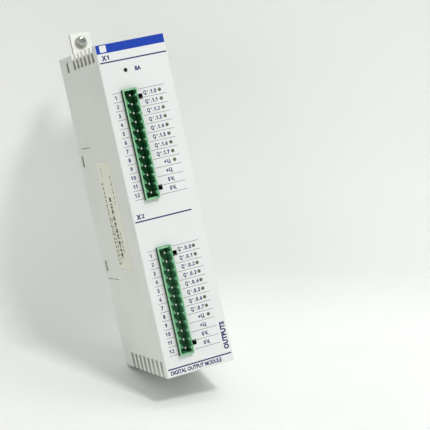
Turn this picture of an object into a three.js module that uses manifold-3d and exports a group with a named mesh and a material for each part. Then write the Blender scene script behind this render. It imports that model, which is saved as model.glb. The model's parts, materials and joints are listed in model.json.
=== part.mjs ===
// Slim plug-in output module for an industrial controller rack.
// Millimetres. X runs right as seen from the front, Y runs rearwards and Z runs up.
// The origin is the centre of the raised rear block's face, at mid height and mid width.
import * as THREE from 'three';
import { mergeVertices } from 'three/addons/utils/BufferGeometryUtils.js';
import Module from 'manifold-3d';

const wasm = await Module();
wasm.setup();

// ---------------------------------------------------------------- driving dimensions

// Case
const WIDTH = 41.7;
const HEIGHT = 192.7;
const FRONT_Y = -80.4;
const SEAT_Y = -3.2;
const SIDE_WALL = 1.8;
const END_WALL = 3.4;
const FRONT_WALL = 2.2;
const EDGE_RADIUS = 0.35;
const FIT = 0.15;

// Printed foils
const FOIL = 0.25;
const FOIL_MARGIN = 0.4;
const TYPE_LABEL = { y: [-59.7, -33.8], z: [-33.2, 31.2], thickness: 0.2, recess: 0.15 };

// Ventilation slots along the top and bottom edges of both side walls
const SLOT_WIDTH = 3.8;
const TOP_SLOTS = { first: 7.7, pitch: 7.8, count: 6, depth: 9, thinned_y: [-77, -24] };
const BOTTOM_SLOTS = { first: 6.8, pitch: 7.65, count: 8, depth: 9.5, thinned_y: [-31.5, -14.5] };
const CLOSED_SLOT = { y: -19.1, z: [86.9, 94] };
const SPINE = 2.4;
const VENT_WALL = 1;

// Rear block, its spring tongues and the latches
const TONGUE_HALF = 40.5;
const SLIT = 0.4;
const SLIT_FRONT_Y = -28;
const LATCH_Z = 32.8;
const WINDOW = { y: [-8.9, -4.9], height: 6.7 };
const COVER = 2.5;
const CHEEK = { thickness: 2, beyond_slit: 2.5 };

// Pluggable field connectors
const PITCH = 5.08;
const POLES = 12;
const HEADER_X = -6.95;
const HEADER_MID_Z = -8.15;
const HEADER_SPACING = 91;
const HEADER = { width: 8.6, length: 63.4, depth: 12, cavity: 9.5, stand_out: 2.5 };
const MOUTH = { left_wall: 0.85, right_wall: 0.8, end_wall: 1, tooth: 1.9, bump: 0.95, step: 0.5 };
const PIN = 1;
const KEY = { x: -0.8, offset: 26.3, width: 2.8, height: 2.8 };

// Indicators
const LIT_ROWS = 9;
const LED_X = 11.35;
const LED_RADIUS = 1;
const STATUS_LED = { x: -5.85, z: 79.7, radius: 1.2 };

// Circuit boards
const BOARD = 1.6;
const MAIN_BOARD_X = -11.25;
const LOGIC_BOARD_X = 13.8;
const BOARD_Y = [-77.6, -9];
const BOARD_HALF = 92.6;
const RAIL = { height: 2, width: 1.1, gap: 0.2 };

// Fixing bracket and its captive screw
const BRACKET_X = -5.1;
const BRACKET = { width: 12.5, thickness: 2.5, z: [66, 110.3] };
const BRACKET_SCREWS_Z = [72, 84];
const SCREW_Z = 105.2;
const SCREW = { head: 2.9, head_height: 2.3, neck: 1.1, thread: 1.5, free: 3.2, thread_length: 6 };
const WASHER = { outer: 3.1, inner: 1.65, thickness: 0.8 };

// Backplane connector
const BACKPLANE = { x: -7, width: 8.4, half: 30, y: [-16, -0.6], rows: 2, columns: 20, pitch: 2.54 };

// Worked out from the above
const SHELL_FRONT_Y = FRONT_Y + FOIL;
const INNER_FRONT_Y = SHELL_FRONT_Y + FRONT_WALL;
const INNER_X = WIDTH / 2 - SIDE_WALL;
const INNER_Z = HEIGHT / 2 - END_WALL;
const COVER_FRONT_Y = SEAT_Y - COVER;
const BRACKET_FRONT_Y = SEAT_Y - BRACKET.thickness;
const HEADER_ZS = {
  x1: HEADER_MID_Z + HEADER_SPACING / 2,
  x2: HEADER_MID_Z - HEADER_SPACING / 2,
};
const PIN_LEG_Y = HEADER.depth + 1.5;
const BEYOND = 1;

// ---------------------------------------------------------------- materials

function finish(colour, roughness, metalness = 0) {
  return new THREE.MeshStandardMaterial({ color: colour, roughness, metalness });
}

const casePlastic = finish(0xd9dbd5, 0.62);
const foilPlastic = finish(0xe9ebe8, 0.5);
const labelPaper = finish(0xd2d3c2, 0.7);
const headerGreen = finish(0x2f8f5b, 0.45);
const blackPlastic = finish(0x1b1d1a, 0.55);
const lampPlastic = finish(0x6f6a58, 0.3);
const lampGreen = finish(0x36422f, 0.3);
const sheetSteel = finish(0xdcdcd8, 0.4, 0.7);
const brightSteel = finish(0xc4c6c4, 0.28, 1);
const tinnedPin = finish(0xcfd0c8, 0.25, 1);
const boardGreen = finish(0x1f5a3a, 0.6);
const connectorGrey = finish(0xb9bab2, 0.6);
const aluminiumCan = finish(0xb4b6b8, 0.35, 0.9);
const ferriteGrey = finish(0x4a4b4d, 0.7);
const fuseBeige = finish(0xcdbf9a, 0.6);

// ---------------------------------------------------------------- solids

// A closed solid from a geometry class, with its shared vertices merged.
function solid(geometry) {
  const bare = geometry.index ? geometry.toNonIndexed() : geometry.clone();
  bare.deleteAttribute('normal');
  bare.deleteAttribute('uv');
  const merged = mergeVertices(bare, 1e-4);
  return new wasm.Manifold(
    new wasm.Mesh({
      numProp: 3,
      vertProperties: merged.attributes.position.array,
      triVerts: new Uint32Array(merged.index.array),
    }),
  );
}

function geometryOf(body) {
  const mesh = body.getMesh();
  const geometry = new THREE.BufferGeometry();
  geometry.setAttribute('position', new THREE.BufferAttribute(mesh.vertProperties, 3));
  geometry.setIndex(new THREE.BufferAttribute(mesh.triVerts, 1));
  geometry.computeVertexNormals();
  return geometry;
}

const join = (first, ...others) => others.reduce((all, next) => all.add(next), first);
const cut = (first, ...others) => others.reduce((all, next) => all.subtract(next), first);

// A box given by its low and high value along each axis.
function slab([x0, x1], [y0, y1], [z0, z1]) {
  const box = new THREE.BoxGeometry(x1 - x0, y1 - y0, z1 - z0);
  return solid(box.translate((x0 + x1) / 2, (y0 + y1) / 2, (z0 + z1) / 2));
}

const around = (middle, size) => [middle - size / 2, middle + size / 2];

// A round bar along Y.
function bar(radius, x, z, [y0, y1], sides = 16) {
  const cylinder = new THREE.CylinderGeometry(radius, radius, y1 - y0, sides);
  return solid(cylinder.translate(x, (y0 + y1) / 2, z));
}

// A round bar along X.
function crossBar(radius, y, z, [x0, x1], sides = 16) {
  const cylinder = new THREE.CylinderGeometry(radius, radius, x1 - x0, sides);
  return solid(cylinder.rotateZ(Math.PI / 2).translate((x0 + x1) / 2, y, z));
}

function polygon(points) {
  return new THREE.Shape(points.map(([a, b]) => new THREE.Vector2(a, b)));
}

function extruded(shape, depth) {
  return new THREE.ExtrudeGeometry(shape, { depth, bevelEnabled: false, curveSegments: 3 });
}

// An outline in X and Y pushed along Z.
function prismZ(shape, [z0, z1]) {
  return solid(extruded(shape, z1 - z0).translate(0, 0, z0));
}

// An outline in X and Z pushed along Y.
function prismY(shape, [y0, y1]) {
  return solid(extruded(shape, y1 - y0).rotateX(Math.PI / 2).translate(0, y1, 0));
}

// An outline in Y and Z pushed along X.
function prismX(shape, [x0, x1]) {
  const body = extruded(shape, x1 - x0).rotateX(Math.PI / 2).rotateZ(Math.PI / 2);
  return solid(body.translate(x0, 0, 0));
}

function roundedOutline([x0, x1], [y0, y1], radius) {
  const shape = new THREE.Shape();
  shape.moveTo(x0 + radius, y0);
  shape.lineTo(x1 - radius, y0);
  shape.absarc(x1 - radius, y0 + radius, radius, -Math.PI / 2, 0);
  shape.lineTo(x1, y1 - radius);
  shape.absarc(x1 - radius, y1 - radius, radius, 0, Math.PI / 2);
  shape.lineTo(x0 + radius, y1);
  shape.absarc(x0 + radius, y1 - radius, radius, Math.PI / 2, Math.PI);
  shape.lineTo(x0, y0 + radius);
  shape.absarc(x0 + radius, y0 + radius, radius, Math.PI, 1.5 * Math.PI);
  return shape;
}

const model = new THREE.Group();

function add(name, geometry, material, parent = model) {
  const mesh = new THREE.Mesh(geometry, material);
  mesh.name = name;
  parent.add(mesh);
  return mesh;
}

const poleZ = (index) => PITCH * ((POLES - 1) / 2 - index);
const range = (count) => Array.from({ length: count }, (_, index) => index);
const SIDES = [-1, 1];

// ---------------------------------------------------------------- openings shared by wall and foil

// Through holes for both connectors, their key sockets and the status lamp.
function frontOpenings(yRange, clearance) {
  const holes = Object.values(HEADER_ZS).flatMap((z) => [
    slab(
      around(HEADER_X, HEADER.width + 2 * clearance),
      yRange,
      around(z, HEADER.length + 2 * clearance),
    ),
    ...SIDES.map((side) =>
      slab(
        around(KEY.x, KEY.width + 2 * clearance),
        yRange,
        around(z + side * KEY.offset, KEY.height + 2 * clearance),
      ),
    ),
  ]);
  holes.push(bar(STATUS_LED.radius, STATUS_LED.x, STATUS_LED.z, yRange));
  return holes;
}

// ---------------------------------------------------------------- case

// One slot per side that opens the side wall and runs over the end wall up to its central spine.
function ventSlots(slots, end) {
  const outer = (end * HEIGHT) / 2;
  const low = Math.min(outer - end * slots.depth, outer + end * BEYOND);
  const high = Math.max(outer - end * slots.depth, outer + end * BEYOND);
  return range(slots.count).flatMap((index) => {
    const y = around(FRONT_Y + slots.first + slots.pitch * index, SLOT_WIDTH);
    return [
      slab([-WIDTH / 2 - BEYOND, -SPINE / 2], y, [low, high]),
      slab([SPINE / 2, WIDTH / 2 + BEYOND], y, [low, high]),
    ];
  });
}

// Thins both side walls from inside behind some of the slots.
function ventReliefs(slots, end) {
  const high = INNER_Z;
  const low = HEIGHT / 2 - slots.depth - 1.2;
  const z = end > 0 ? [low, high] : [-high, -low];
  return SIDES.map((side) => {
    const x = side > 0 ? [0, WIDTH / 2 - VENT_WALL] : [VENT_WALL - WIDTH / 2, 0];
    return slab(x, slots.thinned_y, z);
  });
}

// Cut through a side wall only.
function wallCut(side, y, z) {
  const inside = WIDTH / 2 - SIDE_WALL - FIT;
  const outside = WIDTH / 2 + BEYOND;
  const x = side > 0 ? [inside, outside] : [-outside, -inside];
  return slab(x, y, z);
}

function sideCuts() {
  return SIDES.flatMap((side) => [
    wallCut(side, around(CLOSED_SLOT.y, SLOT_WIDTH), CLOSED_SLOT.z),
    ...SIDES.flatMap((end) => [
      wallCut(side, [SLIT_FRONT_Y, BEYOND], around(end * (TONGUE_HALF + SLIT / 2), SLIT)),
      wallCut(side, WINDOW.y, around(end * LATCH_Z, WINDOW.height)),
    ]),
  ]);
}

// Pairs of rails inside both end walls that hold the edges of a board.
function boardRails(boardX) {
  const inner = [boardX - BOARD - RAIL.gap - RAIL.width, boardX + RAIL.gap];
  const y = [INNER_FRONT_Y - BEYOND, BOARD_Y[1] - BEYOND];
  const reach = RAIL.height + BEYOND;
  return inner.flatMap((x) =>
    SIDES.map((end) => slab([x, x + RAIL.width], y, around(end * (INNER_Z + BEYOND - reach / 2), reach))),
  );
}

function housingShell() {
  const outline = roundedOutline([-WIDTH / 2, WIDTH / 2], [SHELL_FRONT_Y, SEAT_Y], EDGE_RADIUS);
  const tongues = SIDES.map((side) => {
    const x = side > 0 ? [INNER_X, WIDTH / 2] : [-WIDTH / 2, -INNER_X];
    return slab(x, [SEAT_Y - BEYOND, 0], [-TONGUE_HALF, TONGUE_HALF]);
  });
  const blank = join(prismZ(outline, [-HEIGHT / 2, HEIGHT / 2]), ...tongues);
  const inside = slab([-INNER_X, INNER_X], [INNER_FRONT_Y, BEYOND], [-INNER_Z, INNER_Z]);
  const frontCut = [SHELL_FRONT_Y - BEYOND, INNER_FRONT_Y + BEYOND];
  const lampSlots = Object.values(HEADER_ZS).map((z) => {
    const rows = [z + poleZ(LIT_ROWS - 1) - 1.6, z + poleZ(0) + 1.6];
    return slab(around(LED_X, 3), frontCut, rows);
  });
  const bracketNotch = slab(
    around(BRACKET_X, BRACKET.width + 2 * FIT),
    [BRACKET_FRONT_Y - FIT, BEYOND],
    [INNER_Z - BEYOND, HEIGHT / 2 + BEYOND],
  );
  const labelRecess = slab(
    [-WIDTH / 2 - BEYOND, TYPE_LABEL.recess - WIDTH / 2],
    [TYPE_LABEL.y[0] - FIT, TYPE_LABEL.y[1] + FIT],
    [TYPE_LABEL.z[0] - FIT, TYPE_LABEL.z[1] + FIT],
  );
  const open = cut(
    blank,
    inside,
    ...lampSlots,
    bracketNotch,
    labelRecess,
    ...frontOpenings(frontCut, 0.2),
    ...ventSlots(TOP_SLOTS, 1),
    ...ventSlots(BOTTOM_SLOTS, -1),
    ...ventReliefs(TOP_SLOTS, 1),
    ...ventReliefs(BOTTOM_SLOTS, -1),
    ...sideCuts(),
  );
  return join(open, ...boardRails(MAIN_BOARD_X), ...boardRails(LOGIC_BOARD_X + BOARD));
}

function frontFoil() {
  const outline = roundedOutline(
    [FOIL_MARGIN - WIDTH / 2, WIDTH / 2 - FOIL_MARGIN],
    [FOIL_MARGIN - HEIGHT / 2, HEIGHT / 2 - FOIL_MARGIN],
    EDGE_RADIUS,
  );
  const through = [FRONT_Y - BEYOND, SHELL_FRONT_Y + BEYOND];
  const lamps = Object.values(HEADER_ZS).flatMap((z) =>
    range(LIT_ROWS).map((row) => bar(LED_RADIUS + 0.06, LED_X, z + poleZ(row), through, 12)),
  );
  return cut(prismY(outline, [FRONT_Y, SHELL_FRONT_Y]), ...lamps, ...frontOpenings(through, 0.1));
}

function typeLabel() {
  const inner = TYPE_LABEL.recess - WIDTH / 2;
  return slab([inner - TYPE_LABEL.thickness, inner], TYPE_LABEL.y, TYPE_LABEL.z);
}

// A wedge that springs into a window of the side wall.
function latchLug(side, z) {
  const base = INNER_X - 2 * FIT;
  const tip = WIDTH / 2 - 1.4;
  const [front, back] = [WINDOW.y[0] + 0.2, WINDOW.y[1] - 0.2];
  const wedge = polygon([
    [base, front],
    [tip, front + 2.7],
    [tip, back],
    [base, back],
  ]);
  const body = prismZ(wedge, around(z, WINDOW.height - 0.4));
  return side > 0 ? body : body.mirror([1, 0, 0]);
}

function rearCover() {
  const halfX = INNER_X - FIT;
  const halfBlock = TONGUE_HALF - 0.2;
  const wall = CHEEK.thickness;
  const cheekHalf = TONGUE_HALF + SLIT + CHEEK.beyond_slit;
  const plate = slab([-halfX, halfX], [COVER_FRONT_Y, SEAT_Y], [FIT - INNER_Z, INNER_Z - FIT]);
  const block = slab([-halfX, halfX], [COVER_FRONT_Y, 0], [-halfBlock, halfBlock]);
  const cheeks = SIDES.map((side) => {
    const x = side > 0 ? [halfX - wall, halfX] : [-halfX, wall - halfX];
    const y = [SLIT_FRONT_Y - CHEEK.beyond_slit, COVER_FRONT_Y + BEYOND];
    return slab(x, y, [-cheekHalf, cheekHalf]);
  });
  const lugs = SIDES.flatMap((side) => SIDES.map((end) => latchLug(side, end * LATCH_Z)));
  const pad = slab(
    around(BRACKET_X, BRACKET.width + 3),
    [COVER_FRONT_Y - BRACKET.thickness, COVER_FRONT_Y + 0.1],
    [BRACKET.z[0] - 4, INNER_Z - 4 * FIT],
  );
  const hollow = slab(
    [wall - halfX, halfX - wall],
    [COVER_FRONT_Y - BEYOND, -wall],
    [wall - halfBlock, halfBlock - wall],
  );
  const connectorOpening = slab(
    around(BACKPLANE.x, BACKPLANE.width + 0.6),
    [COVER_FRONT_Y - BEYOND, BEYOND],
    [-BACKPLANE.half - 0.3, BACKPLANE.half + 0.3],
  );
  const bracketSeat = slab(
    around(BRACKET_X, BRACKET.width + 2 * FIT),
    [COVER_FRONT_Y, SEAT_Y + BEYOND],
    [BRACKET.z[0] - FIT, INNER_Z + BEYOND],
  );
  const screwHoles = BRACKET_SCREWS_Z.map((z) =>
    bar(1.4, BRACKET_X, z, [COVER_FRONT_Y - BRACKET.thickness - BEYOND, SEAT_Y]),
  );
  const hookPocket = slab(around(BRACKET_X, 10), [COVER_FRONT_Y - BEYOND, BEYOND], [-87, -82.5]);
  const blank = join(cut(join(plate, block), hollow), ...cheeks, ...lugs, pad);
  return cut(blank, connectorOpening, bracketSeat, ...screwHoles, hookPocket);
}

// ---------------------------------------------------------------- bracket and screws

function mountingBracket() {
  const y = [BRACKET_FRONT_Y, SEAT_Y];
  const strip = slab(around(BRACKET_X, BRACKET.width), y, BRACKET.z);
  const through = [y[0] - BEYOND, y[1] + BEYOND];
  const threadHole = bar(1.35, BRACKET_X, SCREW_Z, through);
  const countersinks = BRACKET_SCREWS_Z.flatMap((z) => {
    const cone = new THREE.CylinderGeometry(3.1, 1.5, 1.6, 16);
    return [
      bar(1.5, BRACKET_X, z, through),
      solid(cone.translate(BRACKET_X, SEAT_Y - 0.79, z)),
    ];
  });
  return cut(strip, threadHole, ...countersinks);
}

// Two crossed slots sunk into a screw head whose top lies at y and faces along direction.
function crossRecess(y, depth, direction, length) {
  const yRange = direction < 0 ? [y - BEYOND, y + depth] : [y - depth, y + BEYOND];
  const half = length / 2;
  return join(
    slab([-half, half], yRange, [-0.42, 0.42]),
    slab([-0.42, 0.42], yRange, [-half, half]),
  );
}

function turned(points, sides) {
  const profile = points.map(([radius, y]) => new THREE.Vector2(radius, y));
  return solid(new THREE.LatheGeometry(profile, sides));
}

// Pan head, thin neck and threaded tip; y is 0 on the bracket's front face.
function captiveScrew() {
  const under = -WASHER.thickness;
  const top = under - SCREW.head_height;
  const neckEnd = BRACKET.thickness + SCREW.free;
  const tip = neckEnd + SCREW.thread_length;
  const crown = range(4).map((step) => {
    const angle = (step / 3) * (Math.PI / 2);
    return [SCREW.head * Math.sin(angle), top + 1.1 * (1 - Math.cos(angle))];
  });
  const body = turned(
    [
      ...crown,
      [SCREW.head, under],
      [SCREW.neck, under],
      [SCREW.neck, neckEnd],
      [SCREW.thread, neckEnd + 0.3],
      [SCREW.thread, tip - 0.5],
      [SCREW.neck, tip],
      [0, tip],
    ],
    24,
  );
  return cut(body, crossRecess(top, 1.3, -1, 3.6));
}

function screwWasher() {
  const { outer, inner, thickness } = WASHER;
  const edge = 0.15;
  return turned(
    [
      [inner, -thickness],
      [outer - edge, -thickness],
      [outer, edge - thickness],
      [outer, 0],
      [inner, 0],
      [inner, -thickness],
    ],
    24,
  );
}

// Countersunk screw; y is 0 on its flat head, which faces rearwards.
function countersunkScrew() {
  const length = 4.7;
  const body = turned(
    [
      [0, -length],
      [1.05, -length],
      [1.25, 0.3 - length],
      [1.25, -1.35],
      [2.7, -0.15],
      [2.7, 0],
      [0, 0],
    ],
    20,
  );
  return cut(body, crossRecess(0, 0.9, 1, 3));
}

// ---------------------------------------------------------------- field connectors

// Mouth of a connector: a ratchet of keying teeth on the left wall, latch ramps on the right.
// Points are in X and Z about the connector's centre, anticlockwise from the lower right.
function mouthOutline() {
  const left = MOUTH.left_wall - HEADER.width / 2;
  const right = HEADER.width / 2 - MOUTH.right_wall;
  const tooth = left + MOUTH.tooth;
  const bump = right - MOUTH.bump;
  const half = HEADER.length / 2 - MOUTH.end_wall;
  const points = [[right, -half]];
  range(POLES).forEach((step) => {
    const z = poleZ(POLES - 1 - step);
    points.push([right, z - 1.9]);
    points.push([bump, z - 0.5]);
    points.push([bump, z]);
    points.push([right, z + 0.5]);
  });
  points.push([right, half]);
  points.push([left + 0.4, half]);
  points.push([left, half - 0.6]);
  range(POLES - 1).forEach((index) => {
    const next = poleZ(index + 1);
    points.push([left, poleZ(index) - 0.95]);
    points.push([tooth, next + 0.75]);
    points.push([tooth, next + 0.5]);
    points.push([left + 0.5, next + 0.35]);
    points.push([left, next]);
  });
  points.push([left, -half]);
  return polygon(points);
}

// Rim at y 0, back at y HEADER.depth. The teeth start a step below the rim, the ramps reach it.
function headerBody() {
  const block = slab(around(0, HEADER.width), [0, HEADER.depth], around(0, HEADER.length));
  const mouth = prismY(mouthOutline(), [-BEYOND, HEADER.cavity]);
  const step = slab(
    [MOUTH.left_wall - HEADER.width / 2, HEADER.width / 2 - MOUTH.right_wall - MOUTH.bump],
    [-BEYOND, MOUTH.step],
    around(0, HEADER.length - 2 * MOUTH.end_wall),
  );
  const hole = PIN + 0.1;
  const throughBack = [HEADER.cavity - 0.1, HEADER.depth + BEYOND];
  const pinHoles = range(POLES).map((index) =>
    slab(around(0, hole), throughBack, around(poleZ(index), hole)),
  );
  return cut(block, mouth, step, ...pinHoles);
}

// Square pin bent down at right angles through the main board.
function headerPin() {
  const tip = 1.5;
  const half = PIN / 2;
  const chamfer = 0.22;
  const foot = MAIN_BOARD_X - BOARD - 1.3 - HEADER_X;
  const legFront = PIN_LEG_Y - half;
  const legBack = PIN_LEG_Y + half;
  const outline = polygon([
    [-half, tip + chamfer],
    [chamfer - half, tip],
    [half - chamfer, tip],
    [half, tip + chamfer],
    [half, legBack - 0.5],
    [half - 0.5, legBack],
    [foot, legBack],
    [foot, legFront],
    [-half, legFront],
  ]);
  return prismZ(outline, [-half, half]);
}

// Black moulded socket for a coding key, closed at the bottom.
function keySocket() {
  const x = around(0, KEY.width - 0.1);
  const z = around(0, KEY.height - 0.1);
  const pocket = slab(around(0, KEY.width - 0.9), [-BEYOND, 2.4], around(0, KEY.height - 0.9));
  return cut(slab(x, [0, 3.6], z), pocket);
}

// One clear moulding: a bar on the logic board with a round finger to each lamp window.
function lightGuide() {
  const spine = slab(
    [LED_X - 1.4, LOGIC_BOARD_X - 0.05],
    [-74.4, -69],
    [poleZ(LIT_ROWS - 1) - 2, poleZ(0) + 2],
  );
  const fingers = range(LIT_ROWS).map((row) =>
    bar(LED_RADIUS, LED_X, poleZ(row), [FRONT_Y + 0.12, -74], 12),
  );
  return join(spine, ...fingers);
}

// Side-looking lamp whose domed nose stands behind the status hole.
function statusLamp() {
  const nose = new THREE.CylinderGeometry(STATUS_LED.radius - 0.2, STATUS_LED.radius - 0.2, 5, 16);
  const dome = new THREE.SphereGeometry(STATUS_LED.radius - 0.2, 16, 8);
  const baseY = -74;
  const noseY = baseY - 4;
  return join(
    slab([MAIN_BOARD_X + 0.05, STATUS_LED.x + 1.6], [baseY, baseY + 4], around(STATUS_LED.z, 4)),
    solid(nose.translate(STATUS_LED.x, noseY + 2.5, STATUS_LED.z)),
    solid(dome.translate(STATUS_LED.x, noseY, STATUS_LED.z)),
  );
}

// ---------------------------------------------------------------- boards

function mainBoard() {
  const x = [MAIN_BOARD_X - BOARD, MAIN_BOARD_X];
  const board = slab(x, BOARD_Y, [-BOARD_HALF, BOARD_HALF]);
  const legY = FRONT_Y - HEADER.stand_out + PIN_LEG_Y;
  const holes = Object.values(HEADER_ZS).flatMap((z) =>
    range(POLES).map((index) =>
      crossBar(0.9, legY, z + poleZ(index), [x[0] - BEYOND, x[1] + BEYOND], 6),
    ),
  );
  return cut(board, ...holes);
}

function logicBoard() {
  const x = [LOGIC_BOARD_X, LOGIC_BOARD_X + BOARD];
  const board = slab(x, BOARD_Y, [-BOARD_HALF, BOARD_HALF]);
  const tooling = SIDES.map((end) =>
    crossBar(1.5, BOARD_Y[0] + 5, end * (BOARD_HALF - 6), [x[0] - BEYOND, x[1] + BEYOND], 16),
  );
  return cut(board, ...tooling);
}

function backplaneConnector() {
  const { x, width, half, y, rows, columns, pitch } = BACKPLANE;
  const body = slab(around(x, width), y, [-half, half]);
  const contacts = range(rows).flatMap((row) =>
    range(columns).map((column) =>
      slab(
        around(x + pitch * (row - (rows - 1) / 2), 1),
        [y[1] - 5, y[1] + BEYOND],
        around(pitch * (column - (columns - 1) / 2), 1),
      ),
    ),
  );
  return cut(body, ...contacts);
}

// Tall pin strip that joins the two boards.
function boardLink() {
  const foot = slab([MAIN_BOARD_X + 0.05, MAIN_BOARD_X + 8], [-35, -29], [-23, 23]);
  const tower = slab([MAIN_BOARD_X + 7, LOGIC_BOARD_X - 2.5], [-33.6, -30.4], [-21, 21]);
  const head = slab([LOGIC_BOARD_X - 3, LOGIC_BOARD_X - 0.05], [-34.4, -29.6], [-22, 22]);
  return join(foot, tower, head);
}

// Packaged circuit lying on a board. It is built standing on x = 0 and grows along +X.
function chip({ length, width, height, legs, legPitch, span }) {
  const body = polygon([
    [0.2, -width / 2 + 0.25],
    [height, -width / 2 + 0.55],
    [height, width / 2 - 0.55],
    [0.2, width / 2 - 0.25],
  ]);
  const lead = 0.45;
  const leads = range(legs).flatMap((index) => {
    const z = around(legPitch * (index - (legs - 1) / 2), lead);
    return SIDES.flatMap((side) => {
      const foot = side > 0 ? [span / 2 - 0.6, span / 2] : [-span / 2, 0.6 - span / 2];
      const shoulder = side > 0 ? [width / 2 - 0.8, span / 2] : [-span / 2, 0.8 - width / 2];
      return [
        slab([0.05, height / 2], foot, z),
        slab([height / 2 - 0.35, height / 2], shoulder, z),
      ];
    });
  });
  return join(prismZ(body, around(0, length)), ...leads);
}

// Electrolytic can standing on y = 0, with the crimp ring near its foot.
function capacitor(radius, height) {
  return turned(
    [
      [0, 0.05],
      [radius - 0.3, 0.05],
      [radius, 0.5],
      [radius, 1.6],
      [radius - 0.25, 2],
      [radius, 2.4],
      [radius, height - 0.4],
      [radius - 0.4, height],
      [0, height],
    ],
    16,
  );
}

// Drum core with a blind bore, standing on x = 0.
function supplyChoke() {
  return cut(crossBar(5.5, 0, 0, [0.05, 6.5], 20), crossBar(2, 0, 0, [2, 6.5 + BEYOND], 12));
}

// Flat oval can lying on x = 0.
function clockCrystal() {
  return prismX(roundedOutline([-2.3, 2.3], [-5.4, 5.4], 2.2), [0.05, 3.4]);
}

// Ceramic block between two end caps, lying on x = 0.
function fuse() {
  const caps = SIDES.map((end) => slab([0.05, 3], around(end * 4, 2), [-2, 2]));
  return join(slab([0.6, 4.2], [-4.4, 4.4], [-1.7, 1.7]), ...caps);
}

function placed(name, body, material, [x, y, z], mirrored = false) {
  const mesh = add(name, geometryOf(body), material);
  mesh.position.set(x, y, z);
  if (mirrored) mesh.rotation.z = Math.PI;
  return mesh;
}

// ---------------------------------------------------------------- assembly

function addCase() {
  add('housing_shell', geometryOf(housingShell()), casePlastic);
  add('rear_cover', geometryOf(rearCover()), casePlastic);
  add('front_foil', geometryOf(frontFoil()), foilPlastic);
  add('type_label', geometryOf(typeLabel()), labelPaper);
}

function addBracket() {
  add('mounting_bracket', geometryOf(mountingBracket()), sheetSteel);
  BRACKET_SCREWS_Z.forEach((z, index) => {
    const screw = countersunkScrew();
    placed(`bracket_screw_${index + 1}`, screw, brightSteel, [BRACKET_X, SEAT_Y - 0.05, z]);
  });
  const seat = [BRACKET_X, BRACKET_FRONT_Y, SCREW_Z];
  placed('captive_screw', captiveScrew(), brightSteel, seat);
  placed('screw_washer', screwWasher(), brightSteel, seat);
}

function addConnector(label, z) {
  const group = new THREE.Group();
  group.position.set(HEADER_X, FRONT_Y - HEADER.stand_out, z);
  add(`header_${label}`, geometryOf(headerBody()), headerGreen, group);
  const pin = geometryOf(headerPin());
  range(POLES).forEach((index) => {
    add(`${label}_pin_${index + 1}`, pin, tinnedPin, group).position.z = poleZ(index);
  });
  model.add(group);
  placed(`light_guide_${label}`, lightGuide(), lampPlastic, [0, 0, z]);
  ['upper', 'lower'].forEach((end, index) => {
    const socketZ = z + (index ? -1 : 1) * KEY.offset;
    placed(`key_socket_${label}_${end}`, keySocket(), blackPlastic, [KEY.x, FRONT_Y + 0.1, socketZ]);
  });
}

function addBoards() {
  add('main_board', geometryOf(mainBoard()), boardGreen);
  add('logic_board', geometryOf(logicBoard()), boardGreen);
  add('board_link', geometryOf(boardLink()), blackPlastic);
  add('backplane_connector', geometryOf(backplaneConnector()), connectorGrey);
  add('status_lamp', geometryOf(statusLamp()), lampGreen);
}

// Power parts stand on the main board, logic parts on the other one and face it.
function addComponents() {
  const driver = { length: 16, width: 11, height: 3.3, legs: 5, legPitch: 2.9, span: 14 };
  const coupler = { length: 19.6, width: 6.4, height: 3.5, legs: 6, legPitch: 3.1, span: 9.6 };
  const controller = { length: 14, width: 14, height: 2.2, legs: 7, legPitch: 1.8, span: 16.4 };
  const onMain = (y, z) => [MAIN_BOARD_X, y, z];
  const onLogic = (y, z) => [LOGIC_BOARD_X, y, z];
  [62, 20, -28, -66].forEach((z, index) => {
    placed(`output_driver_${index + 1}`, chip(driver), blackPlastic, onMain(-52, z));
  });
  [78, 64].forEach((z, index) => {
    const can = placed(`buffer_capacitor_${index + 1}`, capacitor(5, 12.5), aluminiumCan, onMain(-30, z));
    can.rotation.z = -Math.PI / 2;
  });
  placed('supply_choke', supplyChoke(), ferriteGrey, onMain(-29, 48));
  placed('fuse_x1', fuse(), fuseBeige, onMain(-33, 33));
  placed('fuse_x2', fuse(), fuseBeige, onMain(-33, -38));
  placed('optocoupler_x1', chip(coupler), blackPlastic, onLogic(-50, 50), true);
  placed('optocoupler_x2', chip(coupler), blackPlastic, onLogic(-50, -50), true);
  placed('bus_controller', chip(controller), blackPlastic, onLogic(-52, 0), true);
  placed('clock_crystal', clockCrystal(), aluminiumCan, onLogic(-66, -14), true);
}

addCase();
addBracket();
Object.entries(HEADER_ZS).forEach(([label, z]) => addConnector(label, z));
addBoards();
addComponents();

export default model;
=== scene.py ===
import json
import math

import bmesh
import bpy
from mathutils import Matrix, Vector


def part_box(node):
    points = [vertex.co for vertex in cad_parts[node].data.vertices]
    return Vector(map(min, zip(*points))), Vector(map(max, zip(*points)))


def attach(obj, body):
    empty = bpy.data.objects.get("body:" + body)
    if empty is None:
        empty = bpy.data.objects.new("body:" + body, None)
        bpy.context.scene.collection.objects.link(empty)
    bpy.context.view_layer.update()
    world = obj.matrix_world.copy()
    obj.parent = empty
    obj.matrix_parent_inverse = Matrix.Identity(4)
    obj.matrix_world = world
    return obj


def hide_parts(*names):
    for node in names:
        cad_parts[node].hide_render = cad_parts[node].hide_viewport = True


MM = 0.001

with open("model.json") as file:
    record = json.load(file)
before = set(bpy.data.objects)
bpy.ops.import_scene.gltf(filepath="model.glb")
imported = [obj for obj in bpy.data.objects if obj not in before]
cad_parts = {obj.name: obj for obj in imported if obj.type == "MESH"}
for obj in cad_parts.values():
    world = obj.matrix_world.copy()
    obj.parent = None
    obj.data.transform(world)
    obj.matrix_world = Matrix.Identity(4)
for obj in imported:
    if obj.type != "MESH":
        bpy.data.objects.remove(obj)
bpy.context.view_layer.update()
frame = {"nodes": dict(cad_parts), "record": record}
nodes = frame["nodes"]

# ---------------------------------------------------------------- places taken from the frame

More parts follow.
